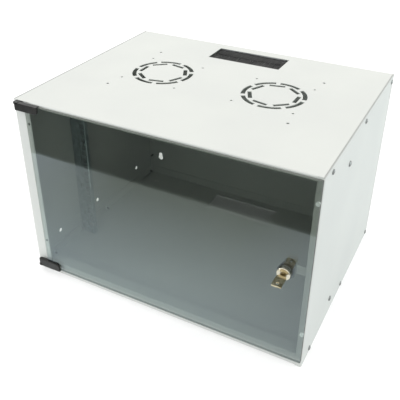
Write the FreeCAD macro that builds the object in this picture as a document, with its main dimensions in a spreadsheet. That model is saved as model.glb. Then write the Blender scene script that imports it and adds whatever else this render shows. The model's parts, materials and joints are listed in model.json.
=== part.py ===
import FreeCAD, Part
import math
import operator
import os
from types import SimpleNamespace

import Sketcher

# A seven-unit 19-inch wall cabinet in folded sheet steel, with a hinged glass door and a cam lock.
# Millimetres, +X right, +Y to the wall, +Z up. The origin is the middle of the underside.

SIZES = (
    ("width", 520, "outside of the side panels"),
    ("depth", 400, "front stiles to the back panel"),
    ("height", 346, "underside to the top panel"),
    ("sheet", 1.2, "sheet steel of the case"),
    ("play", 0.2, "gap between neighbouring panels"),
    ("bend", 2.4, "outside radius of a bend"),
    ("left_stile", 30.6, "width of the hinge stile"),
    ("right_stile", 10.3, "width of the lock stile"),
    ("stile_return", 6.5, "lip folded back from the lock stile"),
    ("hem", 10, "hem folded flat behind the hinge stile"),
    ("fold_relief", 6, "hem and lip cut away at their ends"),
    ("seam", 0.9, "rounding of the top panel along the side panels"),
    ("rear_flange", 14, "flange that the back panel is screwed to"),
    ("corner_relief", 21, "flange cut away at the corners"),
    ("lip", 8, "front lip of the top panel"),
    ("sill", 24, "front sill of the bottom panel"),
    ("sill_return", 20, "fold behind the sill's top edge"),
    ("pan_flange", 19, "side flanges of the top and bottom panels"),
    ("pan_rear_half", 240, "half length of the pans' rear flanges"),
    ("flange_end", 4, "pan flange kept back from the panel's ends"),
    ("case_screw_front", -163, "y of the front case screws"),
    ("case_screw_middle", 10, "y of the middle case screws"),
    ("case_screw_rear", 188, "y of the rear case screws"),
    ("case_screw_drop", 10.5, "upper case screws below the top"),
    ("case_screw_rise", 8, "lower case screws above the underside"),
    ("fan_half_spacing", 105.6, "fan centre from the middle"),
    ("fan_y", 13.2, "fan centres behind the middle"),
    ("fan_hole_half", 52.5, "half of the fan screw spacing"),
    ("tray_half_x", 163, "fan tray holes from the middle"),
    ("tray_half_y", 88.3, "fan tray holes from the fan line"),
    ("vent_count", 7, "slots in a ring"),
    ("outer_ring_in", 47.3, "outer vent ring, inside radius"),
    ("outer_ring_out", 54.8, "outer vent ring, outside radius"),
    ("outer_slot_half", 20.2, "half chord of an outer slot"),
    ("inner_ring_in", 36, "inner vents, near edge from the fan's centre"),
    ("inner_ring_out", 43, "inner vents, far edge from the fan's centre"),
    ("inner_slot_half", 13.5, "half length of an inner slot"),
    ("entry_half", 71, "half width of a cable entry"),
    ("entry_front", 123, "front edge of a cable entry"),
    ("entry_rear", 179, "rear edge of a cable entry"),
    ("brush_slit", 6, "gap between the bristle strips"),
    ("brush_bar", 10, "width of a brush holder"),
    ("brush_height", 5, "height of a brush holder"),
    ("brush_half", 87, "half length of a brush holder"),
    ("brush_grip", 6, "bristles held in the holder"),
    ("bristle", 2, "thickness of a bristle strip"),
    ("rivet_x", 80.5, "brush rivets from the middle"),
    ("foot_x", 222, "foot holes from the middle"),
    ("foot_y", 162, "foot holes from the middle"),
    ("foot_hole", 5, "radius of a foot hole"),
    ("key_x", 231, "wall keyholes from the middle"),
    ("key_low", 46, "lower keyholes"),
    ("key_high", 290, "upper keyholes"),
    ("key_head", 6, "radius of a keyhole's round end"),
    ("key_neck", 4.5, "half width of a keyhole's slot"),
    ("key_run", 8, "length of a keyhole's slot"),
    ("back_screw_x", 252, "back screws from the middle"),
    ("back_screw_step", 125, "upright spacing of the back screws"),
    ("rack_unit", 44.45, "one rack unit"),
    ("rack_count", 7, "rack units"),
    ("rack_hole_x", 232.55, "rack holes from the middle"),
    ("rack_square", 9.5, "square rack hole"),
    ("rack_edge", 6.35, "first hole of a unit"),
    ("rack_pitch", 15.875, "hole pitch inside a unit"),
    ("rail_sheet", 1.5, "sheet steel of the rails"),
    ("rail_edge", 225.2, "inner edge of a rail from the middle"),
    ("rail_front", -73, "front face of the rails"),
    ("rail_lip", 8, "lip folded back from the rail's edge"),
    ("rail_bend", 2.4, "outside radius of a rail's bends"),
    ("rail_side", 36, "rail leg against the side panel"),
    ("rail_end", 3, "rail kept clear of the pans"),
    ("rail_gap", 6, "pan flange kept clear of a rail"),
    ("rail_bolt_y", -64.5, "rail bolts"),
    ("rail_bolt_low", 33.1, "lower rail bolts"),
    ("rail_bolt_high", 297.8, "upper rail bolts"),
    ("tie_front", -135, "front tie hole of the left wall"),
    ("tie_middle", -14, "middle tie hole"),
    ("tie_rear", 136, "rear tie hole"),
    ("tie_hole", 3.9, "radius of the tie holes"),
    ("tie_z", 42, "height of the tie holes"),
    ("stop_low", 69.7, "lower door bumper"),
    ("stop_high", 305.5, "upper door bumper"),
    ("stop_x", 255.5, "door bumpers from the middle"),
    ("spare_x", 234, "spare holes of the hinge stile from the middle"),
    ("spare_hole", 2.5, "radius of the spare holes"),
    ("stop_stem", 1.5, "radius of a bumper's stem"),
    ("stop_head", 3.2, "radius of a bumper's head"),
    ("glass_left", -232.5, "left edge of the glass"),
    ("glass_right", 259.6, "right edge of the glass"),
    ("glass_low", 15.2, "lower edge of the glass"),
    ("glass_high", 344.3, "upper edge of the glass"),
    ("glass_back", -203, "rear face of the glass"),
    ("glass_thick", 4, "thickness of the glass"),
    ("glass_corner", 1.5, "corner radius of the glass"),
    ("hinge_x", -248.5, "hinge axis"),
    ("hinge_y", -206.5, "hinge axis"),
    ("knuckle", 3.9, "outside radius of a clip's knuckle"),
    ("hinge_pin", 2, "radius of a hinge pin"),
    ("pin_play", 0.05, "play of a pin in its clip"),
    ("clip_end", -204.5, "free end of a hinge clip"),
    ("clip_height", 11.2, "height of a hinge clip"),
    ("upper_clip", 331.8, "underside of the upper clip"),
    ("lower_clip", 16.2, "underside of the lower clip"),
    ("clip_corner", 6.5, "free corner of a hinge clip"),
    ("clip_edge", 0.8, "rounding of a hinge clip's front"),
    ("plate_grip", 6.3, "clip plate past the edge of the glass"),
    ("plate_short", 7, "clip plate kept back from the clip's free end"),
    ("plate_inset", 1, "clip plate kept inside the clip's height"),
    ("wrap_gap", 0.6, "gap between an ear and the clip's cap over the glass"),
    ("ear", 2, "thickness of a hinge bracket"),
    ("ear_half", 4.9, "radius of a bracket's ear"),
    ("bracket_side", 3.4, "bracket plate past its ear"),
    ("bracket_height", 11, "height of a bracket plate"),
    ("ear_play", 0.4, "gap between a clip and its ear"),
    ("lock_x", 221, "lock axis"),
    ("lock_z", 181, "lock axis"),
    ("bezel", 10.5, "radius of the lock's head"),
    ("bezel_front", -212.6, "front of the lock's head"),
    ("barrel", 9.4, "radius of the lock's barrel"),
    ("barrel_end", -184, "rear end of the barrel"),
    ("plug", 5.98, "radius of the plug"),
    ("plug_play", 0.07, "play of the plug in the barrel"),
    ("mouth", 5.3, "radius of the opening in the lock's head"),
    ("mouth_depth", 3, "depth of that opening"),
    ("bezel_rim", 1.2, "rounding of the lock's head"),
    ("washer", 0.6, "thickness of the lock's washer"),
    ("lock_nut", 23, "width of the lock's nut across its flats"),
    ("lock_nut_high", 4, "height of the lock's nut"),
    ("keyway_half", 4.1, "half width of the keyway"),
    ("keyway_thick", 1.2, "half height of the keyway"),
    ("cam_sheet", 2, "thickness of the cam"),
    ("cam_half", 8, "half width of the cam"),
    ("cam_reach", 20, "run of the cam between its round ends"),
    ("cam_square", 3.5, "half of the square that drives the cam"),
    ("catch_tip", 232.5, "free end of the catch tab"),
    ("catch_front", -187, "front face of the catch tab"),
    ("catch_leg", 27, "leg of the catch on the side panel"),
    ("catch_low", 168.5, "lower edge of the catch"),
    ("catch_high", 184.5, "upper edge of the catch"),
    ("key_end", -240.5, "free end of the key"),
    ("bow_half", 7.5, "half width of the key's bow"),
    ("bow_root", -219, "bow begins"),
    ("bow_neck", 4, "taper from the bow to the blade"),
    ("bow_corner", 1.5, "corners of the bow"),
    ("bow_hole", 2.6, "radius of the hole in the bow"),
    ("bow_hole_in", 6, "hole in the bow from the key's end"),
    ("blade_half", 3.8, "half width of the key's blade"),
    ("blade_thick", 0.9, "half thickness of the blade"),
    ("bow_thick", 1.2, "half thickness of the bow"),
    ("blade_end", -188, "tip of the blade"),
    ("blade_point", 3, "length of the blade's point"),
)

START, END, CENTRE = 1, 2, 3
ORIGIN = -1
OVERCUT = 1.0


class Formula:
    """A size that keeps its number and the sheet formula that it comes from."""

    SIGNS = {"+": operator.add, "-": operator.sub, "*": operator.mul, "/": operator.truediv}

    def __init__(self, text, number):
        self.text = text
        self.number = number

    def joined(self, sign, other, swapped=False):
        first, second = (formula(other), self) if swapped else (self, formula(other))
        text = "(%s %s %s)" % (first.text, sign, second.text)
        return Formula(text, self.SIGNS[sign](first.number, second.number))

    def __add__(self, other):
        return self.joined("+", other)

    def __radd__(self, other):
        return self.joined("+", other, True)

    def __sub__(self, other):
        return self.joined("-", other)

    def __rsub__(self, other):
        return self.joined("-", other, True)

    def __mul__(self, other):
        return self.joined("*", other)

    def __rmul__(self, other):
        return self.joined("*", other, True)

    def __truediv__(self, other):
        return self.joined("/", other)

    def __neg__(self):
        return self.joined("*", -1)


def formula(value):
    return value if isinstance(value, Formula) else Formula("(%r)" % float(value), float(value))


def make_sheet(doc):
    """Write the driving dimensions and return them as formulas."""
    sheet = doc.addObject("Spreadsheet::Sheet", "dims")
    sizes = SimpleNamespace()
    for row, (alias, value, note) in enumerate(SIZES, start=1):
        sheet.set("A%d" % row, note)
        sheet.set("B%d" % row, str(value))
        sheet.setAlias("B%d" % row, alias)
        setattr(sizes, alias, Formula("dims.%s" % alias, float(value)))
    doc.recompute()
    return sizes


doc = FreeCAD.newDocument("rack_cabinet")
s = make_sheet(doc)
subparts = []

# Planes that most pieces are set out from
half = s.width / 2
wall = half - s.sheet
front = -s.depth / 2
rear = s.depth / 2
stile_back = front + s.sheet
pan_side = wall - s.play
pan_rear = rear - s.sheet - s.play
pan_front = stile_back + s.play
glass_front = s.glass_back - s.glass_thick
lip_left = -half + s.left_stile + s.play
lip_right = half - s.right_stile - s.play
entry_middle = (s.entry_front + s.entry_rear) / 2


def bind(target, name, value):
    target.setExpression(name, formula(value).text)


def fix(sketch, constraint, value):
    """Add a dimension to a sketch and bind it to the sheet."""
    bind(sketch, "Constraints[%d]" % sketch.addConstraint(constraint), value)


def place(sketch, index, point, u, v):
    for kind, value in (("DistanceX", u), ("DistanceY", v)):
        number = formula(value).number
        fix(sketch, Sketcher.Constraint(kind, ORIGIN, START, index, point, number), value)


def vector(u, v):
    return FreeCAD.Vector(formula(u).number, formula(v).number, 0)


def join(sketch, first, first_end, second, second_end):
    sketch.addConstraint(Sketcher.Constraint("Coincident", first, first_end, second, second_end))


def round_curve(u, v, radius):
    return Part.Circle(vector(u, v), FreeCAD.Vector(0, 0, 1), formula(radius).number)


def circle(u, v, radius):
    def draw(sketch):
        index = sketch.addGeometry(round_curve(u, v, radius))
        place(sketch, index, CENTRE, u, v)
        fix(sketch, Sketcher.Constraint("Radius", index, formula(radius).number), radius)
    return draw


def polygon(*points):
    def draw(sketch):
        following = points[1:] + points[:1]
        lines = [sketch.addGeometry(Part.LineSegment(vector(*a), vector(*b)))
                 for a, b in zip(points, following)]
        for line, successor in zip(lines, lines[1:] + lines[:1]):
            join(sketch, line, END, successor, START)
        for line, point in zip(lines, points):
            place(sketch, line, START, *point)
    return draw


def rectangle(u_low, v_low, u_high, v_high):
    return polygon((u_low, v_low), (u_high, v_low), (u_high, v_high), (u_low, v_high))


def hexagon(u, v, across):
    corner = across / math.sqrt(3)
    angles = [math.radians(60 * step) for step in range(6)]
    return polygon(*[(u + corner * math.cos(a), v + corner * math.sin(a)) for a in angles])


def obround(u_low, v_low, u_high, v_high, radius):
    """A slot with round ends between two centres on a line along U or along V."""
    def draw(sketch):
        turn = 0.0 if formula(u_high).number > formula(u_low).number else math.pi / 2
        right, left = turn - math.pi / 2, turn + math.pi / 2
        near_circle = round_curve(u_low, v_low, radius)
        far_circle = round_curve(u_high, v_high, radius)
        near = sketch.addGeometry(Part.ArcOfCircle(near_circle, left, right + 2 * math.pi))
        far = sketch.addGeometry(Part.ArcOfCircle(far_circle, right, left))
        points = [sketch.getPoint(near, END), sketch.getPoint(far, START),
                  sketch.getPoint(far, END), sketch.getPoint(near, START)]
        first = sketch.addGeometry(Part.LineSegment(points[0], points[1]))
        second = sketch.addGeometry(Part.LineSegment(points[2], points[3]))
        for line, end, arc, arc_end in ((first, START, near, END), (first, END, far, START),
                                        (second, START, far, END), (second, END, near, START)):
            sketch.addConstraint(Sketcher.Constraint("Tangent", line, end, arc, arc_end))
        place(sketch, near, CENTRE, u_low, v_low)
        place(sketch, far, CENTRE, u_high, v_high)
        fix(sketch, Sketcher.Constraint("Radius", near, formula(radius).number), radius)
    return draw


def ring_slot(inside, outside, half_chord):
    """A slot of a ring round the sketch's own origin, with its ends on radii."""
    def draw(sketch):
        reach = math.asin(half_chord.number / outside.number)
        inner = sketch.addGeometry(Part.ArcOfCircle(round_curve(0, 0, inside), -reach, reach))
        outer = sketch.addGeometry(Part.ArcOfCircle(round_curve(0, 0, outside), -reach, reach))
        for arc, radius in ((inner, inside), (outer, outside)):
            join(sketch, arc, CENTRE, ORIGIN, START)
            fix(sketch, Sketcher.Constraint("Radius", arc, radius.number), radius)
        for end, offset in ((START, -half_chord), (END, half_chord)):
            line = Part.LineSegment(sketch.getPoint(inner, end), sketch.getPoint(outer, end))
            side = sketch.addGeometry(line)
            join(sketch, side, START, inner, end)
            join(sketch, side, END, outer, end)
            sketch.addConstraint(Sketcher.Constraint("PointOnObject", ORIGIN, START, side))
            fix(sketch, Sketcher.Constraint("DistanceY", ORIGIN, START, outer, end, offset.number), offset)
    return draw


def new_body(label):
    body = doc.addObject("PartDesign::Body", label)
    body.AllowCompound = True
    subparts.append(body)
    return body


def new_sketch(body, plane, level, shapes):
    """A sketch on an origin plane, moved along the row axis to a level."""
    sketch = body.newObject("Sketcher::SketchObject", "Outline")
    support = [item for item in body.Origin.OriginFeatures if item.Role == plane + "_Plane"]
    sketch.AttachmentSupport = [(support[0], "")]
    sketch.MapMode = "FlatFace"
    bind(sketch, "AttachmentOffset.Base.z", -formula(level) if plane == "XZ" else level)
    for shape in shapes:
        shape(sketch)
    return sketch


def pad(body, plane, low, high, *shapes):
    """Add material between two levels along the row axis across the plane."""
    feature = body.newObject("PartDesign::Pad", "Pad")
    sketch = new_sketch(body, plane, high if plane == "XZ" else low, shapes)
    feature.Profile = sketch
    bind(feature, "Length", formula(high) - low)
    body.Tip = feature
    return feature


def pocket(body, plane, low, high, *shapes):
    """Take material away between two levels along the row axis across the plane."""
    feature = body.newObject("PartDesign::Pocket", "Pocket")
    sketch = new_sketch(body, plane, low if plane == "XZ" else high, shapes)
    feature.Profile = sketch
    bind(feature, "Length", formula(high) - low)
    body.Tip = feature
    return feature


def on_side(side, near, far):
    """Low and high X of a slice between two distances from the middle."""
    return (formula(near), formula(far)) if side > 0 else (-formula(far), -formula(near))


def fits(low, high, value):
    return value is None or (abs(low - value) < 0.01 and abs(high - value) < 0.01)


def round_edges(body, radius, *lines):
    """Fillet every edge that lies on one of the given lines, each with None along its own axis."""
    doc.recompute()
    base = body.Tip
    lines = [[None if value is None else formula(value).number for value in line] for line in lines]
    names = []
    for number, edge in enumerate(base.Shape.Edges, start=1):
        box = edge.BoundBox
        spans = ((box.XMin, box.XMax), (box.YMin, box.YMax), (box.ZMin, box.ZMax))
        if any(all(fits(*span, value) for span, value in zip(spans, line)) for line in lines):
            names.append("Edge%d" % number)
    feature = body.newObject("PartDesign::Fillet", "Bend")
    feature.Base = (base, names)
    bind(feature, "Radius", radius)
    body.Tip = feature


case_screw_rows = (s.case_screw_front, s.case_screw_middle, s.case_screw_rear)
case_screw_heights = (s.case_screw_rise, s.height - s.case_screw_drop)
case_screws = [(y, z) for z in case_screw_heights for y in case_screw_rows]
rail_bolts = [(s.rail_bolt_y, z) for z in (s.rail_bolt_low, s.rail_bolt_high)]
back_screw_heights = [s.height / 2 + step * s.back_screw_step for step in (-1, 0, 1)]
brush_rows = (s.entry_front - s.brush_bar / 2, s.entry_rear + s.brush_bar / 2)
brush_rivets = [(side * s.rivet_x, y) for y in brush_rows for side in (-1, 1)]
clip_middles = [low + s.clip_height / 2 for low in (s.lower_clip, s.upper_clip)]
clip_screws = [(s.glass_left + offset, z) for z in clip_middles for offset in (7, 17)]
ear_lows = (s.lower_clip - s.ear_play - s.ear, s.upper_clip + s.clip_height + s.ear_play)
rivet_drop = (s.bracket_height - s.ear) / 2
bracket_rivets = [(s.hinge_x + offset, low - rivet_drop) for low in ear_lows for offset in (-2, 5.5)]

# Fasteners: radius of the hole and the shank, then radius and height of the head
SCREW_HOLE, SCREW_SHANK, SCREW_HEAD, SCREW_HEAD_HIGH = 2.2, 2.0, 4.0, 2.0
RAIL_HOLE, RAIL_SHANK, RAIL_HEAD, RAIL_HEAD_HIGH = 2.7, 2.5, 4.6, 2.2
BRUSH_HOLE, BRUSH_SHANK, BRUSH_HEAD, BRUSH_HEAD_HIGH = 1.9, 1.8, 3.2, 1.0
BRACKET_HOLE, BRACKET_SHANK, BRACKET_HEAD, BRACKET_HEAD_HIGH = 1.6, 1.5, 2.6, 1.2
CLIP_HOLE, CLIP_SHANK, CLIP_HEAD, CLIP_HEAD_HIGH = 2.0, 1.9, 3.0, 0.8
CAM_SHANK, CAM_HEAD, CAM_HEAD_HIGH = 1.9, 5.5, 2.5
FAN_HOLE, TRAY_HOLE = 2.2, 2.5
GLASS_HOLE = 2.6

# Nuts: width across the flats and height
SCREW_NUT, SCREW_NUT_HIGH = 7.0, 3.2
RAIL_NUT, RAIL_NUT_HIGH = 8.0, 4.0
NUT_PLAY = 0.05
SCREW_LENGTH = 10
RAIL_LENGTH = 11


def circles(places, radius):
    return [circle(u, v, radius) for u, v in places]


def side_panel(label, side, stile, fold_width, fold_depth):
    """A wall with a front stile, the fold behind the stile's edge and a rear flange."""
    body = new_body(label)
    edge = side * (half - stile)
    fold = edge + side * fold_width
    fold_end = stile_back + fold_depth
    flange = side * (half - s.rear_flange)
    flange_front = rear - 2 * s.sheet
    pad(body, "XY", 0, s.height, polygon(
        (side * half, front), (edge, front), (edge, fold_end), (fold, fold_end), (fold, stile_back),
        (side * wall, stile_back), (side * wall, flange_front), (flange, flange_front),
        (flange, rear - s.sheet), (side * half, rear - s.sheet)))
    pocket(body, "YZ", *on_side(side, half - s.rear_flange - OVERCUT, wall),
           rectangle(flange_front - OVERCUT, -OVERCUT, rear, s.corner_relief),
           rectangle(flange_front - OVERCUT, s.height - s.corner_relief, rear, s.height + OVERCUT))
    pocket(body, "YZ", *on_side(side, half - stile - OVERCUT, half - stile + fold_width + OVERCUT),
           rectangle(stile_back, -OVERCUT, fold_end + OVERCUT, s.fold_relief),
           rectangle(stile_back, s.height - s.fold_relief, fold_end + OVERCUT, s.height + OVERCUT))
    pocket(body, "YZ", *on_side(side, wall - OVERCUT, half + OVERCUT),
           *circles(case_screws, SCREW_HOLE), *circles(rail_bolts, RAIL_HOLE))
    screws = [(side * s.back_screw_x, z) for z in back_screw_heights]
    pocket(body, "XZ", flange_front - OVERCUT, rear, *circles(screws, SCREW_HOLE))
    round_edges(body, s.bend, (side * half, front, None), (side * half, rear - s.sheet, None))
    return body


def left_side_panel():
    """The hinge side, with three tie holes in the wall and two spare bumper holes in the stile."""
    body = side_panel("left_side_panel", -1, s.left_stile, s.hem, s.sheet)
    ties = [(y, s.tie_z) for y in (s.tie_front, s.tie_middle, s.tie_rear)]
    pocket(body, "YZ", -half - OVERCUT, -wall + OVERCUT, *circles(ties, s.tie_hole))
    spare = [(-s.spare_x, z) for z in (s.stop_low, s.stop_high)]
    pocket(body, "XZ", front - OVERCUT, stile_back + s.sheet + OVERCUT,
           *circles(spare, s.spare_hole), *circles(bracket_rivets, BRACKET_HOLE))


def right_side_panel():
    """The lock side, with the two holes that hold the door bumpers."""
    body = side_panel("right_side_panel", 1, s.right_stile, s.sheet, s.stile_return)
    stems = [(s.stop_x, z) for z in (s.stop_low, s.stop_high)]
    pocket(body, "XZ", front - OVERCUT, stile_back + OVERCUT, *circles(stems, s.stop_stem + 0.1))


def pan(label, low, high, flange_low, flange_high, rivets):
    """A horizontal panel between the side panels, with flanges, their screw holes and a cable entry."""
    body = new_body(label)
    pad(body, "XY", low, high, polygon(
        (-pan_side, pan_front), (lip_left, pan_front), (lip_left, front), (lip_right, front),
        (lip_right, pan_front), (pan_side, pan_front), (pan_side, pan_rear), (-pan_side, pan_rear)))
    pad(body, "XZ", pan_rear - s.sheet, pan_rear,
        rectangle(-s.pan_rear_half, flange_low, s.pan_rear_half, flange_high))
    flange_start = pan_front + s.flange_end
    flange_stop = pan_rear - s.flange_end
    for side in (-1, 1):
        pad(body, "YZ", *on_side(side, pan_side - s.sheet, pan_side),
            rectangle(flange_start, flange_low, s.rail_front - s.rail_gap, flange_high),
            rectangle(s.rail_front + s.rail_side + s.rail_gap, flange_low, flange_stop, flange_high))
        screws = [(y, z) for y, z in case_screws if flange_low.number < z.number < flange_high.number]
        pocket(body, "YZ", *on_side(side, pan_side - s.sheet - OVERCUT, pan_side + OVERCUT),
               *circles(screws, SCREW_HOLE))
    pocket(body, "XY", low - OVERCUT, high + OVERCUT,
           rectangle(-s.entry_half, s.entry_front, s.entry_half, s.entry_rear),
           *circles(rivets, BRUSH_HOLE))
    return body


def vent_ring(body, side, turn, slot):
    """One slot through the top panel, repeated round a fan's centre."""
    feature = pocket(body, "XY", s.height - s.sheet - OVERCUT, s.height + OVERCUT, slot)
    sketch = feature.Profile[0]
    sketch.AttachmentOffset = FreeCAD.Placement(sketch.AttachmentOffset.Base,
                                                FreeCAD.Rotation(FreeCAD.Vector(0, 0, 1), turn))
    bind(sketch, "AttachmentOffset.Base.x", side * s.fan_half_spacing)
    bind(sketch, "AttachmentOffset.Base.y", s.fan_y)
    pattern = body.newObject("PartDesign::PolarPattern", "Ring")
    pattern.Originals = [feature]
    pattern.Axis = (sketch, ["N_Axis"])
    pattern.Angle = 360
    bind(pattern, "Occurrences", s.vent_count)
    body.Tip = pattern


def top_panel():
    """The top pan with its front lip, two fan grilles and the holes of the fans and their tray."""
    sheet_low = s.height - s.sheet
    body = pan("top_panel", sheet_low, s.height, s.height - s.pan_flange, s.height, brush_rivets)
    pad(body, "XZ", front, stile_back, rectangle(lip_left, s.height - s.lip, lip_right, s.height))
    fans = [(side * s.fan_half_spacing + a * s.fan_hole_half, s.fan_y + b * s.fan_hole_half)
            for side in (-1, 1) for a in (-1, 1) for b in (-1, 1)]
    tray = [(a * s.tray_half_x, s.fan_y + b * s.tray_half_y) for a in (-1, 1) for b in (-1, 1)]
    pocket(body, "XY", sheet_low - OVERCUT, s.height + OVERCUT,
           *circles(fans, FAN_HOLE), *circles(tray, TRAY_HOLE))
    half_pitch = 180 / s.vent_count.number
    curved = ring_slot(s.outer_ring_in, s.outer_ring_out, s.outer_slot_half)
    straight = rectangle(s.inner_ring_in, -s.inner_slot_half, s.inner_ring_out, s.inner_slot_half)
    for side in (-1, 1):
        turn = 0 if side > 0 else half_pitch
        vent_ring(body, side, turn + half_pitch, curved)
        vent_ring(body, side, turn, straight)
    round_edges(body, s.bend, (None, front, s.height))
    round_edges(body, s.seam, (-pan_side, None, s.height), (pan_side, None, s.height))


def bottom_panel():
    """The bottom pan with its front sill, an open cable entry and four foot holes."""
    body = pan("bottom_panel", formula(0), s.sheet, formula(0), s.pan_flange, [])
    pad(body, "XZ", front, stile_back, rectangle(lip_left, 0, lip_right, s.sill))
    pad(body, "XY", s.sill - s.sheet, s.sill,
        rectangle(lip_left, stile_back, lip_right, stile_back + s.sill_return))
    feet = [(a * s.foot_x, b * s.foot_y) for a in (-1, 1) for b in (-1, 1)]
    pocket(body, "XY", -OVERCUT, s.sheet + OVERCUT, *circles(feet, s.foot_hole))
    round_edges(body, s.bend, (None, front, 0), (None, front, s.sill))


def back_panel():
    """The flat back with four keyholes for wall screws."""
    body = new_body("back_panel")
    pad(body, "XZ", rear - s.sheet, rear, rectangle(-half, 0, half, s.height))
    cut = (rear - s.sheet - OVERCUT, rear + OVERCUT)
    keyholes = [(side * s.key_x, z) for side in (-1, 1) for z in (s.key_low, s.key_high)]
    pocket(body, "XZ", *cut, *circles(keyholes, s.key_head))
    pocket(body, "XZ", *cut, *[obround(x, z, x, z + s.key_run, s.key_neck) for x, z in keyholes])
    screws = [(side * s.back_screw_x, z) for side in (-1, 1) for z in back_screw_heights]
    pocket(body, "XZ", *cut, *circles(screws, SCREW_HOLE))


def rail(label, side):
    """A folded 19-inch rail with three square holes to each rack unit."""
    body = new_body(label)
    edge = side * s.rail_edge
    turn = side * s.rail_sheet
    face_back = s.rail_front + s.rail_sheet
    side_end = s.rail_front + s.rail_side
    lip_end = s.rail_front + s.rail_lip
    pad(body, "XY", s.rail_end, s.height - s.rail_end, polygon(
        (edge, s.rail_front), (side * wall, s.rail_front), (side * wall, side_end),
        (side * wall - turn, side_end), (side * wall - turn, face_back), (edge + turn, face_back),
        (edge + turn, lip_end), (edge, lip_end)))
    round_edges(body, s.rail_bend - s.rail_sheet,
                (edge + turn, face_back, None), (side * wall - turn, face_back, None))
    round_edges(body, s.rail_bend, (edge, s.rail_front, None), (side * wall, s.rail_front, None))
    pocket(body, "YZ", *on_side(side, wall - s.rail_sheet - OVERCUT, wall + OVERCUT),
           *circles(rail_bolts, RAIL_HOLE))
    first = (s.height - s.rack_unit * s.rack_count) / 2 + s.rack_edge
    reach = s.rack_square / 2
    middle = side * s.rack_hole_x
    squares = [rectangle(middle - reach, z - reach, middle + reach, z + reach)
               for z in (first, first + s.rack_pitch, first + 2 * s.rack_pitch)]
    holes = pocket(body, "XZ", s.rail_front - OVERCUT, face_back + OVERCUT, *squares)
    pattern = body.newObject("PartDesign::LinearPattern", "Units")
    pattern.Originals = [holes]
    pattern.Direction = (holes.Profile[0], ["V_Axis"])
    bind(pattern, "Length", s.rack_unit * (s.rack_count - 1))
    bind(pattern, "Occurrences", s.rack_count)
    body.Tip = pattern


def screw_group(label, plane, places, shank, shank_span, head, head_span):
    """Separate screws or rivets: a round head on a plain shank."""
    body = new_body(label)
    pad(body, plane, *head_span, *circles(places, head))
    pad(body, plane, *shank_span, *circles(places, shank))
    return body


def nut_group(label, plane, places, across, bore, span):
    body = new_body(label)
    pad(body, plane, *span, *[hexagon(u, v, formula(across)) for u, v in places], *circles(places, bore))


def case_fasteners():
    """The screws and nuts of the case, the rails and the back."""
    flange_inside = pan_side - s.sheet
    rail_inside = wall - s.rail_sheet
    for name, side in (("left", -1), ("right", 1)):
        screw_group("case_screws_" + name, "YZ", case_screws,
                    SCREW_SHANK, on_side(side, half - SCREW_LENGTH, half),
                    SCREW_HEAD, on_side(side, half, half + SCREW_HEAD_HIGH))
        nut_group("case_nuts_" + name, "YZ", case_screws, SCREW_NUT, SCREW_SHANK + NUT_PLAY,
                  on_side(side, flange_inside - SCREW_NUT_HIGH, flange_inside))
        screw_group("rail_bolts_" + name, "YZ", rail_bolts,
                    RAIL_SHANK, on_side(side, half - RAIL_LENGTH, half),
                    RAIL_HEAD, on_side(side, half, half + RAIL_HEAD_HIGH))
        nut_group("rail_nuts_" + name, "YZ", rail_bolts, RAIL_NUT, RAIL_SHANK + NUT_PLAY,
                  on_side(side, rail_inside - RAIL_NUT_HIGH, rail_inside))
    places = [(side * s.back_screw_x, z) for side in (-1, 1) for z in back_screw_heights]
    screw_group("back_screws", "XZ", places, SCREW_SHANK, (rear - SCREW_LENGTH, rear),
                SCREW_HEAD, (rear, rear + SCREW_HEAD_HIGH))


def top_brush():
    """Two grooved holders under the top cable entry, each with a strip of bristles, and their rivets."""
    bar_high = s.height - s.sheet
    bar_low = bar_high - s.brush_height
    groove_low = bar_low + (s.brush_height - s.bristle) / 2
    groove_high = groove_low + s.bristle
    tip_front = entry_middle - s.brush_slit / 2
    tip_rear = entry_middle + s.brush_slit / 2
    strips = (
        ("front", s.entry_front - s.brush_bar, s.entry_front, s.entry_front - s.brush_grip, tip_front),
        ("rear", s.entry_rear, s.entry_rear + s.brush_bar, tip_rear, s.entry_rear + s.brush_grip))
    for name, bar_front, bar_rear, strip_front, strip_rear in strips:
        holder = new_body("top_%s_brush_holder" % name)
        pad(holder, "XY", bar_low, bar_high, rectangle(-s.brush_half, bar_front, s.brush_half, bar_rear))
        pocket(holder, "YZ", -s.entry_half, s.entry_half,
               rectangle(strip_front, groove_low, strip_rear, groove_high))
        rivets = [(u, v) for u, v in brush_rivets if bar_front.number < v.number < bar_rear.number]
        pocket(holder, "XY", bar_low - OVERCUT, bar_high + OVERCUT, *circles(rivets, BRUSH_HOLE))
        bristles = new_body("top_%s_bristles" % name)
        pad(bristles, "XY", groove_low, groove_high,
            rectangle(-s.entry_half, strip_front, s.entry_half, strip_rear))
    screw_group("top_brush_rivets", "XY", brush_rivets, BRUSH_SHANK, (bar_low, s.height),
                BRUSH_HEAD, (bar_low - BRUSH_HEAD_HIGH, bar_low))


def at_hinge(radius):
    return circle(s.hinge_x, s.hinge_y, radius)


def hinge_bracket(name, ear_low):
    """A plate on the stile with an ear folded forward from its top edge."""
    body = new_body(name + "_hinge_bracket")
    ear_high = ear_low + s.ear
    plate_front = front - s.ear
    plate_low = ear_high - s.bracket_height
    left = s.hinge_x - s.ear_half
    right = s.hinge_x + s.ear_half
    pad(body, "XZ", plate_front, front, rectangle(left, plate_low, right + s.bracket_side, ear_high))
    pad(body, "XY", ear_low, ear_high, rectangle(left, s.hinge_y, right, plate_front))
    pad(body, "XY", ear_low, ear_high, at_hinge(s.ear_half))
    pocket(body, "XY", ear_low - OVERCUT, ear_high + OVERCUT, at_hinge(s.hinge_pin + 0.02))
    rivets = [(x, z) for x, z in bracket_rivets if plate_low.number < z.number < ear_high.number]
    pocket(body, "XZ", plate_front - OVERCUT, front + OVERCUT, *circles(rivets, BRACKET_HOLE))


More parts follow.
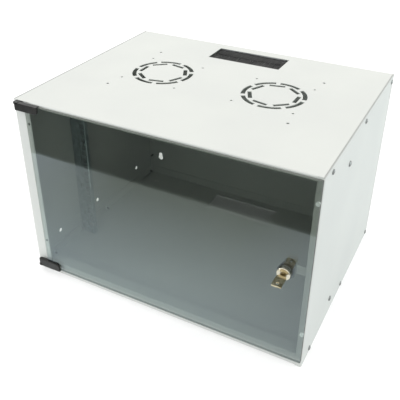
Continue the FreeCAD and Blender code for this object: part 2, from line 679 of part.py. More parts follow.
def hinge_half(name, clip_low, ear_low):
    """A bracket, its pin, and the clip with a back plate that turns on the pin and holds the glass.

    The clip has a cap beside the ear, over the edge of the glass.
    """
    clip_high = clip_low + s.clip_height
    ear_high = ear_low + s.ear
    ear_above = ear_low.number > clip_low.number
    hinge_bracket(name, ear_low)

    bore_end = 1.3
    pin_end = 2 * bore_end
    if ear_above:
        bore = (clip_low + bore_end, clip_high + OVERCUT)
        pin_span = (clip_low + pin_end, ear_high)
        cap = (clip_high, ear_high)
        glass_slot = (clip_high, s.glass_high + s.play)
        free_edge = clip_low
    else:
        bore = (clip_low - OVERCUT, clip_high - bore_end)
        pin_span = (ear_low, clip_high - pin_end)
        cap = (ear_low, clip_low)
        glass_slot = (s.glass_low - s.play, clip_low)
        free_edge = clip_high
    pin = new_body(name + "_hinge_pin")
    pad(pin, "XY", *pin_span, at_hinge(s.hinge_pin))

    clip = new_body(name + "_hinge_clip")
    clip_front = s.hinge_y - s.knuckle
    clip_back = s.hinge_y + s.knuckle
    seat = s.glass_left - s.play
    plate_seat = seat - s.plate_grip
    pad(clip, "XY", clip_low, clip_high, polygon(
        (s.hinge_x, clip_front), (s.clip_end, clip_front), (s.clip_end, glass_front), (seat, glass_front),
        (seat, s.glass_back), (plate_seat, s.glass_back), (plate_seat, clip_back), (s.hinge_x, clip_back)))
    pad(clip, "XY", clip_low, clip_high, at_hinge(s.knuckle))
    cap_start = s.hinge_x + s.ear_half + s.wrap_gap
    pad(clip, "XY", *cap, rectangle(cap_start, clip_front, s.clip_end, s.glass_back))
    pocket(clip, "XY", *glass_slot,
           rectangle(seat, glass_front, s.clip_end + OVERCUT, s.glass_back + OVERCUT))
    pocket(clip, "XY", *bore, at_hinge(s.hinge_pin + s.pin_play))
    screws = [(x, z) for x, z in clip_screws if clip_low.number < z.number < clip_high.number]
    pocket(clip, "XZ", glass_front - 2.2, glass_front, *circles(screws, CLIP_HOLE - NUT_PLAY))
    round_edges(clip, s.clip_corner, (s.clip_end, None, free_edge))
    round_edges(clip, s.clip_edge, (s.clip_end, clip_front, None))

    back_plate = new_body(name + "_clip_plate")
    pad(back_plate, "XZ", s.glass_back, s.glass_back + s.sheet,
        rectangle(plate_seat + s.play, clip_low + s.plate_inset,
                  s.clip_end - s.plate_short, clip_high - s.plate_inset),
        *circles(screws, CLIP_HOLE))


def hinges():
    """Both halves of the door's hinge with the rivets and screws that hold them."""
    lower_ear, upper_ear = ear_lows
    hinge_half("upper", s.upper_clip, upper_ear)
    hinge_half("lower", s.lower_clip, lower_ear)
    screw_group("bracket_rivets", "XZ", bracket_rivets, BRACKET_SHANK, (front - s.ear, stile_back),
                BRACKET_HEAD, (stile_back, stile_back + BRACKET_HEAD_HIGH))
    plate_back = s.glass_back + s.sheet
    screw_group("clip_screws", "XZ", clip_screws, CLIP_SHANK, (glass_front - 2, plate_back),
                CLIP_HEAD, (plate_back, plate_back + CLIP_HEAD_HIGH))


def at_lock(radius):
    return circle(s.lock_x, s.lock_z, radius)


def lock_square(reach):
    return rectangle(s.lock_x - reach, s.lock_z - reach, s.lock_x + reach, s.lock_z + reach)


def glass_door():
    """The glass pane with its lock hole and the holes of the clip screws."""
    body = new_body("glass_door")
    pad(body, "XZ", glass_front, s.glass_back,
        rectangle(s.glass_left, s.glass_low, s.glass_right, s.glass_high))
    pocket(body, "XZ", glass_front - OVERCUT, s.glass_back + OVERCUT,
           at_lock(s.barrel + 0.3), *circles(clip_screws, GLASS_HOLE))
    corners = [(x, None, z) for x in (s.glass_left, s.glass_right) for z in (s.glass_low, s.glass_high)]
    round_edges(body, s.glass_corner, *corners)


def door_stops():
    """Soft bumpers on the lock stile, each with a stem through the sheet."""
    places = [(s.stop_x, z) for z in (s.stop_low, s.stop_high)]
    screw_group("door_bumpers", "XZ", places, s.stop_stem, (front, stile_back + 2),
                s.stop_head, (s.glass_back + 0.1, front))


def catch_bracket():
    """The angle on the right wall whose tab the lock's cam turns behind."""
    body = new_body("catch_bracket")
    tab_back = s.catch_front + s.sheet
    pad(body, "XY", s.catch_low, s.catch_high, polygon(
        (s.catch_tip, s.catch_front), (wall, s.catch_front), (wall, s.catch_front + s.catch_leg),
        (wall - s.sheet, s.catch_front + s.catch_leg), (wall - s.sheet, tab_back), (s.catch_tip, tab_back)))


def lock():
    """A cam lock through the glass: head and barrel, washer, nut, plug, cam and cam screw."""
    head_back = glass_front - s.washer
    mouth_end = s.bezel_front + s.mouth_depth
    body = new_body("lock_body")
    pad(body, "XZ", s.bezel_front, head_back, at_lock(s.bezel))
    pad(body, "XZ", head_back, s.barrel_end, at_lock(s.barrel))
    pocket(body, "XZ", s.bezel_front - OVERCUT, mouth_end + OVERCUT, at_lock(s.mouth))
    pocket(body, "XZ", mouth_end, s.barrel_end + OVERCUT, at_lock(s.plug + s.plug_play))
    round_bezel(body)

    washer = new_body("lock_washer")
    pad(washer, "XZ", head_back, glass_front, at_lock(s.bezel), at_lock(s.barrel + 0.1))
    nut_group("lock_nut", "XZ", [(s.lock_x, s.lock_z)], s.lock_nut, s.barrel + 0.1,
              (s.glass_back, s.glass_back + s.lock_nut_high))

    cam_front = s.barrel_end + 0.1
    cam_back = cam_front + s.cam_sheet
    plug_front = mouth_end + 0.05
    plug = new_body("lock_plug")
    pad(plug, "XZ", plug_front, cam_front, at_lock(s.plug))
    pad(plug, "XZ", cam_front, cam_back, lock_square(s.cam_square))
    pocket(plug, "XZ", plug_front - OVERCUT, s.blade_end + 2, rectangle(
        s.lock_x - s.keyway_half, s.lock_z - s.keyway_thick,
        s.lock_x + s.keyway_half, s.lock_z + s.keyway_thick))
    pocket(plug, "XZ", cam_back - 3, cam_back + OVERCUT, at_lock(CAM_SHANK + 0.1))

    cam = new_body("lock_cam")
    pad(cam, "XZ", cam_front, cam_back, lock_square(s.cam_square + 0.03),
        obround(s.lock_x, s.lock_z - s.cam_reach, s.lock_x, s.lock_z, s.cam_half))
    screw_group("cam_screw", "XZ", [(s.lock_x, s.lock_z)], CAM_SHANK, (cam_back - 2.8, cam_back),
                CAM_HEAD, (cam_back, cam_back + CAM_HEAD_HIGH))


def round_bezel(body):
    """Ease the front rim of the lock's head."""
    doc.recompute()
    base = body.Tip
    rims = ["Edge%d" % number for number, edge in enumerate(base.Shape.Edges, start=1)
            if abs(edge.BoundBox.YMax - s.bezel_front.number) < 0.01
            and abs(edge.BoundBox.XLength - 2 * s.bezel.number) < 0.1]
    feature = body.newObject("PartDesign::Fillet", "Rim")
    feature.Base = (base, rims)
    bind(feature, "Radius", s.bezel_rim)
    body.Tip = feature


def key():
    """A flat key lying level in the keyway, with a pierced bow and a notched blade."""
    body = new_body("key")
    x, z = s.lock_x, s.lock_z
    neck = s.bow_root + s.bow_neck
    pad(body, "XY", z - s.bow_thick, z + s.bow_thick, polygon(
        (x - s.blade_half, neck), (x - s.bow_half, s.bow_root), (x - s.bow_half, s.key_end),
        (x + s.bow_half, s.key_end), (x + s.bow_half, s.bow_root), (x + s.blade_half, neck)))
    tip = s.blade_end - s.blade_point
    pad(body, "XY", z - s.blade_thick, z + s.blade_thick, polygon(
        (x - s.blade_half, neck), (x + s.blade_half, neck), (x + s.blade_half, tip),
        (x, s.blade_end), (x - s.blade_half, tip)))
    pocket(body, "XY", z - s.bow_thick - OVERCUT, z + s.bow_thick + OVERCUT,
           circle(x, s.key_end + s.bow_hole_in, s.bow_hole))
    edge = x + s.blade_half
    pitch, mouth_half, root_half = 4, 1.8, 0.3
    notches = [(tip - pitch - pitch * step, depth) for step, depth in enumerate((1.6, 0.9, 1.9, 1.2))]
    pocket(body, "XY", z - s.blade_thick - OVERCUT, z + s.blade_thick + OVERCUT, *[
        polygon((edge + OVERCUT, y - mouth_half), (edge + OVERCUT, y + mouth_half),
                (edge - depth, y + root_half), (edge - depth, y - root_half))
        for y, depth in notches])
    corners = [(x + a * s.bow_half, y, None) for a in (-1, 1) for y in (s.bow_root, s.key_end)]
    round_edges(body, s.bow_corner, *corners)


def check_all():
    """Stop unless every object is up to date, every cut removes something and every piece is sound."""
    doc.recompute()
    for item in doc.Objects:
        if "Invalid" in item.State or "Error" in item.State:
            raise RuntimeError("%s is %s" % (item.Name, item.State))
        if item.TypeId == "PartDesign::Pocket":
            removed = item.BaseFeature.Shape.Volume - item.Shape.Volume
            if removed < 0.5:
                raise RuntimeError("%s removes %.3f" % (item.Name, removed))
    for body in subparts:
        if body.Shape.isNull() or not body.Shape.isValid():
            raise RuntimeError("%s has no sound shape" % body.Label)


left_side_panel()
right_side_panel()
top_panel()
bottom_panel()
back_panel()
rail("left_rail", -1)
rail("right_rail", 1)
case_fasteners()
top_brush()
hinges()
glass_door()
door_stops()
catch_bracket()
lock()
key()
check_all()

os.makedirs("parts", exist_ok=True)
for body in subparts:
    body.Shape.exportStep("parts/%s.step" % body.Label)
    print("%-26s %2d solids %10.0f mm3" % (body.Label, len(body.Shape.Solids), body.Shape.Volume))
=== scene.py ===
import json
import math
import random

import bmesh
import bpy
from mathutils import Matrix, Vector


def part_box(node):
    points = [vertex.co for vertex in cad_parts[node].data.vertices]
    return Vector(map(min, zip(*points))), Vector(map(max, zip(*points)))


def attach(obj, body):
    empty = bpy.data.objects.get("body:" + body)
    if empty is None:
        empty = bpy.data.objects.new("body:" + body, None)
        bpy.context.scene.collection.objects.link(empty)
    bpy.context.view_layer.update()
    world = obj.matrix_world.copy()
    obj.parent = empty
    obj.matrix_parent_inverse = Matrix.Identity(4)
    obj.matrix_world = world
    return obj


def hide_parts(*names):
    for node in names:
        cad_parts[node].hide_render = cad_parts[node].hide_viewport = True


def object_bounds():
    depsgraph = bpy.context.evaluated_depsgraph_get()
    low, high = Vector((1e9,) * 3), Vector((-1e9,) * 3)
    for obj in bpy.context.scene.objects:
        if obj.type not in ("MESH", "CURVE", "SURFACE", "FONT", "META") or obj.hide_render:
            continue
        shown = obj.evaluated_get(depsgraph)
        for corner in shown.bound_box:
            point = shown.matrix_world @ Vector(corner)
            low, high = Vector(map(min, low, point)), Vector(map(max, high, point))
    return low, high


# A small wall-mounted rack cabinet on a white studio floor. Metres, in the frame of the solids.

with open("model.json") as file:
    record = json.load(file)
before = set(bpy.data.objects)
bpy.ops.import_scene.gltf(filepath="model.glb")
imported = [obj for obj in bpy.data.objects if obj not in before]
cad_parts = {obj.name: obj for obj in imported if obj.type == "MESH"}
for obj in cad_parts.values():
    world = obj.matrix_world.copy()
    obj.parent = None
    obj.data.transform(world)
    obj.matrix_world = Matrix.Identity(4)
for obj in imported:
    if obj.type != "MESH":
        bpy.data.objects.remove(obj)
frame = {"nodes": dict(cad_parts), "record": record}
cad_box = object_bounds()
nodes = frame["nodes"]
scene = bpy.context.scene
SEED = 7
random.seed(SEED)

MM = 0.001

# Sockets of a node that mixes colours
MIX_FACTOR, MIX_FIRST, MIX_SECOND, MIX_RESULT = 0, 6, 7, 2

# Camera of the photograph, in a picture of 400 by 400 pixels
PICTURE = 400
SENSOR_MM = 36.0
FOCAL_PX = 597.625
PRINCIPAL_PX = (197.084, 166.427)
CAMERA_AT = Vector((0.417132, -0.846590, 0.740474))
AZIMUTH, ELEVATION, ROLL = math.radians(27.807), math.radians(30.378), math.radians(0.2208)
CLIP_START = 0.01


def linear(*levels):
    """A colour given in the 0 to 255 levels of a screen, as linear light."""
    channels = [level / 255 for level in levels]
    light = [c / 12.92 if c <= 0.04045 else ((c + 0.055) / 1.055) ** 2.4 for c in channels]
    return (*light, 1.0)


def grey(level):
    """A grey of a given share of light."""
    return (level, level, level, 1.0)


class Shading:
    """A material with short names for the nodes that it is made of."""

    def __init__(self, name, roughness=0.5, metallic=0.0):
        self.material = bpy.data.materials.new(name)
        self.material.use_nodes = True
        self.tree = self.material.node_tree
        self.shader = self.tree.nodes["Principled BSDF"]
        self.set("Roughness", roughness)
        self.set("Metallic", metallic)
        self.coordinates = self.add("ShaderNodeTexCoord")

    def set(self, name, value):
        self.shader.inputs[name].default_value = value

    def add(self, kind, **settings):
        node = self.tree.nodes.new(kind)
        for name, value in settings.items():
            setattr(node, name, value)
        return node

    def link(self, source, target):
        self.tree.links.new(source, target)

    def noise(self, scale, detail, stretch=(1, 1, 1)):
        mapping = self.add("ShaderNodeMapping")
        mapping.inputs["Scale"].default_value = stretch
        self.link(self.coordinates.outputs["Object"], mapping.inputs["Vector"])
        node = self.add("ShaderNodeTexNoise")
        node.inputs["Scale"].default_value = scale
        node.inputs["Detail"].default_value = detail
        self.link(mapping.outputs["Vector"], node.inputs["Vector"])
        return node.outputs["Fac"]

    def spread(self, source, low=0, high=1, start=0.3, end=0.7):
        """A value that runs from low to high while the source runs from start to end."""
        node = self.add("ShaderNodeMapRange")
        self.link(source, node.inputs["Value"])
        for name, value in (("From Min", start), ("From Max", end), ("To Min", low), ("To Max", high)):
            node.inputs[name].default_value = value
        return node.outputs["Result"]

    def blend(self, factor, first, second):
        """A colour between two others."""
        node = self.add("ShaderNodeMix", data_type="RGBA")
        self.link(factor, node.inputs[MIX_FACTOR])
        for socket, value in ((node.inputs[MIX_FIRST], first), (node.inputs[MIX_SECOND], second)):
            if isinstance(value, tuple):
                socket.default_value = value
            else:
                self.link(value, socket)
        return node.outputs[MIX_RESULT]

    def parts(self, kind):
        """X, Y and Z of one kind of coordinates."""
        node = self.add("ShaderNodeSeparateXYZ")
        self.link(self.coordinates.outputs[kind], node.inputs["Vector"])
        return node.outputs

    def math(self, operation, *values):
        node = self.add("ShaderNodeMath", operation=operation)
        for socket, value in zip(node.inputs, values):
            if isinstance(value, float):
                socket.default_value = value
            else:
                self.link(value, socket)
        return node.outputs["Value"]

    def colour(self, source):
        self.link(source, self.shader.inputs["Base Color"])

    def rough(self, source):
        self.link(source, self.shader.inputs["Roughness"])

    def bump(self, source, distance, strength):
        node = self.add("ShaderNodeBump")
        node.inputs["Distance"].default_value = distance
        node.inputs["Strength"].default_value = strength
        self.link(source, node.inputs["Height"])
        self.link(node.outputs["Normal"], self.shader.inputs["Normal"])

    def mix(self, factor, first, second):
        """A shader between two others."""
        node = self.add("ShaderNodeMixShader")
        self.link(factor, node.inputs["Fac"])
        self.link(first, node.inputs[1])
        self.link(second, node.inputs[2])
        return node.outputs["Shader"]


# Scale and detail of each texture
CLOUDS, PEEL, SPECKS = (7, 3), (900, 2), (2600, 1)
LINES, BLOOM = (500, 3), (120, 3)
GRAIN, WEAR = (1500, 2), (60, 4)
HAIRS, HAZE = (900, 2), (300, 3)
GROUND, SMEARS = (700, 3), (5, 4)
FIBRE, ROOM_MOTTLE = (40, 3), (200, 2)

# Depth and strength of each relief
PEEL_RELIEF = (0.05 * MM, 0.5)
LINES_RELIEF = (0.02 * MM, 0.4)
GRAIN_RELIEF = (0.03 * MM, 0.6)

# How far each texture moves the roughness, as a difference or, for drawn lines, as a factor
PEEL_LOW, PEEL_HIGH = -0.06, 0.08
GRAIN_LOW, GRAIN_HIGH = -0.08, 0.1
LINES_LOW, LINES_HIGH = 0.7, 1.5

# Painted shade along the top seams between the top and the side panels: a darker strip on the cut edges there
SEAM_X, SEAM_Z = 0.2577, 0.3446
SEAM_SHADE = linear(156, 158, 155)
SPECK_SHARE = 0.10


def powder_coat(name, light, dark, roughness):
    """Powder paint: faint clouds of tone, a fine orange-peel skin and a painted shade line along the top
    seams.
    """
    skin = Shading(name)
    clouds = skin.noise(*CLOUDS)
    peel = skin.noise(*PEEL)
    specks = skin.noise(*SPECKS)
    tone = skin.blend(skin.spread(clouds), light, dark)
    tone = skin.blend(skin.spread(specks, 0, SPECK_SHARE), tone, dark)
    place = skin.parts("Object")
    aside = skin.math("ABSOLUTE", place["X"])
    # Painted shade: a darker strip along the top seams, where the gap between the panels falls in shade
    seam_shade = skin.math("MULTIPLY", skin.math("GREATER_THAN", aside, SEAM_X),
                     skin.math("GREATER_THAN", place["Z"], SEAM_Z))
    skin.colour(skin.blend(seam_shade, tone, SEAM_SHADE))
    skin.rough(skin.spread(peel, roughness + PEEL_LOW, roughness + PEEL_HIGH))
    skin.bump(peel, *PEEL_RELIEF)
    return skin.material


def plated_metal(name, bright, dull, roughness, stretch=(1, 1, 1), shade_behind_glass=None):
    """Plated metal with fine drawn lines and a slight bloom. The part behind the glass takes a darker tone as
    painted shade.
    """
    skin = Shading(name, metallic=1.0)
    lines = skin.noise(*LINES, stretch)
    tone = skin.blend(skin.spread(skin.noise(*BLOOM)), bright, dull)
    # Painted shade: the part behind the glass takes a darker tone, standing in for the dark cabinet around it
    if shade_behind_glass:
        behind = skin.math("GREATER_THAN", skin.parts("Object")["Y"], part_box("glass_door")[0].y)
        tone = skin.blend(behind, tone, shade_behind_glass)
    skin.colour(tone)
    skin.rough(skin.spread(lines, roughness * LINES_LOW, roughness * LINES_HIGH))
    skin.bump(lines, *LINES_RELIEF)
    return skin.material


# Gloss of the black pieces, where 0.5 is common plastic, and where their worn tone starts and ends
BLACK_GLOSS = 0.16
WORN_FROM, WORN_TO = 0.45, 0.75


def moulded_plastic(name, deep, worn, roughness):
    """Black moulded plastic or satin paint with a fine grain."""
    skin = Shading(name)
    grain = skin.noise(*GRAIN)
    wear = skin.noise(*WEAR)
    skin.colour(skin.blend(skin.spread(wear, 0, 1, WORN_FROM, WORN_TO), deep, worn))
    skin.rough(skin.spread(grain, roughness + GRAIN_LOW, roughness + GRAIN_HIGH))
    skin.bump(grain, *GRAIN_RELIEF)
    skin.set("Specular IOR Level", BLACK_GLOSS)
    return skin.material


HAIR_STRETCH = (1, 0.02, 1)
HAIR_ROUGHNESS = (0.35, 0.6)


def nylon(name, deep, pale):
    """Black nylon filaments that differ a little from one to the next."""
    skin = Shading(name)
    hairs = skin.noise(*HAIRS, HAIR_STRETCH)
    skin.colour(skin.blend(skin.spread(hairs), deep, pale))
    skin.rough(skin.spread(hairs, *HAIR_ROUGHNESS))
    return skin.material


BUMPER_ROUGHNESS = (0.25, 0.45)
BUMPER_PAINTED_GLOW = 0.25
BUMPER_SCATTER = 0.2
BUMPER_DEPTH = (2 * MM, 2 * MM, 2 * MM)


def soft_clear(name, pale, cloudy):
    """Cloudy soft plastic of the bumpers, with a painted glow that stands in for light gathered from the
    glass that rests on it.
    """
    skin = Shading(name)
    haze = skin.noise(*HAZE)
    skin.colour(skin.blend(skin.spread(haze), pale, cloudy))
    skin.rough(skin.spread(haze, *BUMPER_ROUGHNESS))
    # Painted light: the bumpers glow faintly though they are no lamp
    skin.set("Emission Color", pale)
    skin.set("Emission Strength", BUMPER_PAINTED_GLOW)
    skin.set("Subsurface Weight", BUMPER_SCATTER)
    skin.set("Subsurface Radius", BUMPER_DEPTH)
    return skin.material


# Share of light that a glass face mirrors when looked at straight, and how it grows towards a glance
STRAIGHT_MIRROR = 0.08
GLANCE_POWER = 5.0
PLAIN_ANGLE = 0.5
MIRROR_TINT = (0.84, 0.93, 1.0, 1.0)

# Tones of the ground edges, each painted with the light or shade it shows: painted shade on the upper edge,
# painted light on the lower edge and a painted dark shadow line on the lock edge. The hinge edge is polished
# clear.
UPPER_EDGE_SHADE, LOWER_EDGE_LIGHT, LOCK_EDGE_SHADOW = linear(88, 92, 87), linear(150, 156, 152), linear(26, 30, 29)
EDGE_SKIN = 0.3 * MM
EDGE_MOTTLE = 0.15
EDGE_ROUGHNESS, EDGE_GLOSS = 0.45, 0.25

# Smears on the glass: how much of their tone shows, and how much light they let through
SMEAR_SHARE, SMEAR_TINT = 0.06, 0.9


def tinted_glass(name, through):
    """Grey sheet glass: clear tint through the faces, ground edges painted with the light or shade each
    shows, a mirror skin by angle.
    """
    skin = Shading(name, roughness=EDGE_ROUGHNESS)
    skin.set("Specular IOR Level", EDGE_GLOSS)
    low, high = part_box("glass_door")
    place = skin.parts("Object")
    at_hinge = skin.math("LESS_THAN", place["X"], low.x + EDGE_SKIN)
    at_lock = skin.math("GREATER_THAN", place["X"], high.x - EDGE_SKIN)
    at_foot = skin.math("LESS_THAN", place["Z"], low.z + EDGE_SKIN)
    # Painted light and shade: each ground edge takes its own tone by where it lies, lightest at the foot and
    # darkest at the lock
    edge = skin.blend(at_lock, skin.blend(at_foot, UPPER_EDGE_SHADE, LOWER_EDGE_LIGHT), LOCK_EDGE_SHADOW)
    ground = skin.noise(*GROUND)
    skin.colour(skin.blend(skin.spread(ground, 0, EDGE_MOTTLE), edge, LOCK_EDGE_SHADOW))

    smears = skin.noise(*SMEARS)
    smeared = tuple(c * SMEAR_TINT for c in through[:3]) + (1.0,)
    clear = skin.add("ShaderNodeBsdfTransparent")
    skin.link(skin.blend(skin.spread(smears, 0, SMEAR_SHARE), through, smeared), clear.inputs["Color"])
    mirror = skin.add("ShaderNodeBsdfGlossy")
    mirror.inputs["Color"].default_value = MIRROR_TINT
    mirror.inputs["Roughness"].default_value = 0.0
    slant = skin.add("ShaderNodeLayerWeight")
    slant.inputs["Blend"].default_value = PLAIN_ANGLE
    steep = skin.math("POWER", slant.outputs["Facing"], GLANCE_POWER)
    share = skin.spread(steep, STRAIGHT_MIRROR, 1, 0, 1)
    face = skin.mix(share, clear.outputs["BSDF"], mirror.outputs["BSDF"])

    polished = skin.math("MAXIMUM", skin.math("ABSOLUTE", skin.parts("Normal")["Y"]), at_hinge)
    whole = skin.mix(polished, skin.shader.outputs["BSDF"], face)
    skin.link(whole, skin.tree.nodes["Material Output"].inputs["Surface"])
    return skin.material


# Stretch of the drawn lines, which run along a rail or a brush and round a pin
ALONG_RAIL, ALONG_BRUSH, ROUND_PIN, ALONG_KEY = (1, 1, 0.05), (0.05, 1, 1), (1, 1, 6), (1, 4, 1)

materials = {
    "case_paint": powder_coat(
        "case_powder_coat", linear(187, 189, 185), linear(182, 184, 181), 0.46),
    "rail_zinc": plated_metal(
        "galvanised_sheet", linear(186, 197, 200), linear(164, 176, 180), 0.34, ALONG_RAIL),
    "dark_screws": plated_metal(
        "dark_screw_metal", linear(156, 158, 156), linear(112, 114, 113), 0.25),
    "zinc": plated_metal(
        "zinc_plate", linear(104, 106, 105), linear(60, 62, 61), 0.2, ROUND_PIN),
    "brush_metal": plated_metal(
        "brush_holder_metal", linear(200, 202, 203), linear(178, 180, 182), 0.35, ALONG_BRUSH),
    "bristles": nylon(
        "black_nylon", linear(8, 8, 8), linear(24, 24, 23)),
    "black_metal": moulded_plastic(
        "black_satin_paint", linear(22, 22, 21), linear(34, 34, 33), 0.4),
    "black_plastic": moulded_plastic(
        "black_moulded_plastic", linear(40, 40, 39), linear(52, 52, 51), 0.26),
    "bumper": soft_clear(
        "clear_soft_plastic", linear(244, 246, 245), linear(226, 230, 229)),
    "tinted_glass": tinted_glass(
        "grey_tinted_glass", linear(223, 226, 223)),
    "lock_chrome": plated_metal(
        "lock_chrome", linear(224, 218, 204), linear(186, 177, 155), 0.14, shade_behind_glass=linear(82, 84, 86)),
    "key_nickel": plated_metal(
        "key_nickel", linear(216, 207, 180), linear(134, 122, 88), 0.2, ALONG_KEY),
}


def dress_nodes():
    """Give every solid the material of its slot."""
    for entry in frame["record"]["subparts"]:
        mesh = nodes[entry["node"]].data
        mesh.materials.clear()
        mesh.materials.append(materials[entry["material_slot"]])


WELD = 0.001 * MM
SORT_DIGITS = 4


def solids(node):
    """Lowest and highest corner of each separate solid in a node."""
    copy = bmesh.new()
    copy.from_mesh(nodes[node].data)
    bmesh.ops.remove_doubles(copy, verts=copy.verts, dist=WELD)
    boxes, left = [], set(copy.verts)
    while left:
        island, queue = set(), [left.pop()]
        while queue:
            vertex = queue.pop()
            island.add(vertex)
            near = {edge.other_vert(vertex) for edge in vertex.link_edges} & left
            left -= near
            queue.extend(near)
        corners = [[v.co[axis] for v in island] for axis in range(3)]
        boxes.append((Vector(map(min, corners)), Vector(map(max, corners))))
    copy.free()
    return sorted(boxes, key=lambda box: tuple(round(c, SORT_DIGITS) for c in box[0]))


def new_piece(name, build, slot, body):
    """A mesh object made by a bmesh function, with its material slot, riding on a body."""
    mesh = bpy.data.meshes.new(name)
    shape = bmesh.new()
    build(shape)
    bmesh.ops.recalc_face_normals(shape, faces=shape.faces)
    shape.to_mesh(mesh)
    shape.free()
    piece = bpy.data.objects.new(name, mesh)
    scene.collection.objects.link(piece)
    mesh.materials.append(materials[slot])
    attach(piece, body)
    return piece


def wall(shape, lower, upper):
    """Faces between two rings with the same number of vertices."""
    for a in range(len(lower)):
        b = (a + 1) % len(lower)
        shape.faces.new((lower[a], lower[b], upper[b], upper[a]))


# Bristles: filaments in rows, from the groove of each holder to the middle of the cable entry

FILAMENT_STEP = 0.75 * MM
FILAMENT_HALF = 0.26 * MM
FILAMENT_ROWS = 3
FILAMENT_SHIFT = 0.25
TIP_STRAY = 0.8 * MM

# Share of the length and share of the width at each ring of a filament
FILAMENT_RINGS = ((0.0, 1.0), (0.8, 0.9), (1.0, 0.4))
SQUARE = ((-1, -1), (1, -1), (1, 1), (-1, 1))


def filament(shape, root, tip):
    """A square filament that narrows to its tip."""
    rings = []
    for along, width in FILAMENT_RINGS:
        centre, half = root.lerp(tip, along), FILAMENT_HALF * width
        rings.append([shape.verts.new(centre + Vector((dx * half, 0, dz * half))) for dx, dz in SQUARE])
    for lower, upper in zip(rings, rings[1:]):
        wall(shape, lower, upper)
    shape.faces.new(rings[0])
    shape.faces.new(rings[-1])


def bristle_strip(node, middle):
    """Filaments that stand for one solid strip and reach to the middle of the entry."""
    low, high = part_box(node)
    from_front = (low.y + high.y) / 2 < middle
    root_y = low.y if from_front else high.y
    thickness = high.z - low.z
    count = int((high.x - low.x) / FILAMENT_STEP)

    def build(shape):
        for row in range(FILAMENT_ROWS):
            z = low.z + thickness * (row + 0.5) / FILAMENT_ROWS
            for index in range(count):
                shift = random.uniform(-FILAMENT_SHIFT, FILAMENT_SHIFT)
                x = low.x + FILAMENT_STEP * (index + 0.5 + shift)
                tip = Vector((x + random.uniform(-TIP_STRAY, TIP_STRAY),
                              middle + random.uniform(-TIP_STRAY, TIP_STRAY),
                              z + random.uniform(-TIP_STRAY, TIP_STRAY)))
                filament(shape, Vector((x, root_y, z)), tip)

    piece = new_piece(node + "_filaments", build, "bristles", "cabinet")
    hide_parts(node)


def brushes():
    front, rear = "top_front_bristles", "top_rear_bristles"
    middle = (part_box(front)[1].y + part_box(rear)[0].y) / 2
    bristle_strip(front, middle)
    bristle_strip(rear, middle)


# Screws: domed heads with a cross recess on plain shanks

HEAD_SIDES = 32

# Outline of a head from the rim's foot to the flat crown, in shares of its radius and height
HEAD_OUTLINE = ((1.0, 0.0), (1.0, 0.35), (0.95, 0.62), (0.82, 0.84), (0.68, 0.96), (0.6, 1.0))

# The recess in shares of the head's radius, how far it narrows, and its depth as a share of the height
CROSS_ARM, CROSS_WIDTH = 0.56, 0.13
CROSS_TAPER = 0.8
RECESS = 0.6

# Height of the head and radius of the shank
CASE_SCREW = (2.0 * MM, 2.0 * MM)
RAIL_BOLT = (2.2 * MM, 2.5 * MM)


def cross_outline(radius):
    """Corners of the recess, one arm after the other."""
    reach, half = CROSS_ARM * radius, CROSS_WIDTH * radius
    arm = ((reach, -half), (reach, half), (half, half))
    turns = ((1, 0), (0, 1), (-1, 0), (0, -1))
    return [(x * c - y * s, x * s + y * c) for c, s in turns for x, y in arm]


def screw(shape, place, radius, height, shank_radius, shank_length):
    """One screw along local +Z: head on z = 0, shank below it, moved by place."""
    def corner(x, y, z):
        return shape.verts.new(place @ Vector((x, y, z)))

    def ring(r, z):
        turns = [2 * math.pi * k / HEAD_SIDES for k in range(HEAD_SIDES)]
        return [corner(r * math.cos(t), r * math.sin(t), z) for t in turns]

    def outline(loop):
        pairs = zip(loop, loop[1:] + loop[:1])
        return [shape.edges.get(pair) or shape.edges.new(pair) for pair in pairs]

    rings = [ring(r * radius, z * height) for r, z in HEAD_OUTLINE]
    foot, neck = ring(shank_radius, -shank_length), ring(shank_radius, 0.0)
    wall(shape, foot, neck)
    shape.faces.new(foot)
    wall(shape, neck, rings[0])
    for lower, upper in zip(rings, rings[1:]):
        wall(shape, lower, upper)
    cross = cross_outline(radius)
    crown = [corner(x, y, height) for x, y in cross]
    floor = [corner(x * CROSS_TAPER, y * CROSS_TAPER, height * (1 - RECESS)) for x, y in cross]
    wall(shape, floor, crown)
    shape.faces.new(floor)
    bmesh.ops.triangle_fill(shape, edges=outline(rings[-1]) + outline(crown), use_beauty=True)


def cross_screws(node, outward, head_height, shank_radius):
    """Detailed screws in the places of a node's plain ones."""
    turn = Vector((0, 0, 1)).rotation_difference(outward).to_matrix().to_4x4()
    axis = 0 if outward.x else 1
    across = (axis + 1) % 3

    def build(shape):
        for low, high in solids(node):
            length = high[axis] - low[axis]
            seat = (low + high) / 2
            seat[axis] += (length / 2 - head_height) * outward[axis]
            spin = Matrix.Rotation(random.uniform(0, math.pi / 2), 4, "Z")
            screw(shape, Matrix.Translation(seat) @ turn @ spin, (high[across] - low[across]) / 2,
                  head_height, shank_radius, length - head_height)

    piece = new_piece(node + "_cross", build, "dark_screws", "cabinet")
    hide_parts(node)


def screws():
    for name, sign in (("left", -1), ("right", 1)):
        cross_screws("case_screws_" + name, Vector((sign, 0, 0)), *CASE_SCREW)
        cross_screws("rail_bolts_" + name, Vector((sign, 0, 0)), *RAIL_BOLT)
    cross_screws("back_screws", Vector((0, 1, 0)), *CASE_SCREW)


# Studio: a white lit floor. Only mirrors see two painted reflections above it: a glowing pale table on it,
# and a dark sheet for the dark room before the table's edge.

FLOOR_HALF = 6.0
FLOOR_LIGHT, FLOOR_DARK = grey(0.43), grey(0.41)
# Tones of the dark sheet, a painted reflection of the dark room
ROOM_REFLECTION_DARK, ROOM_REFLECTION_LIGHT = grey(0.01), grey(0.02)

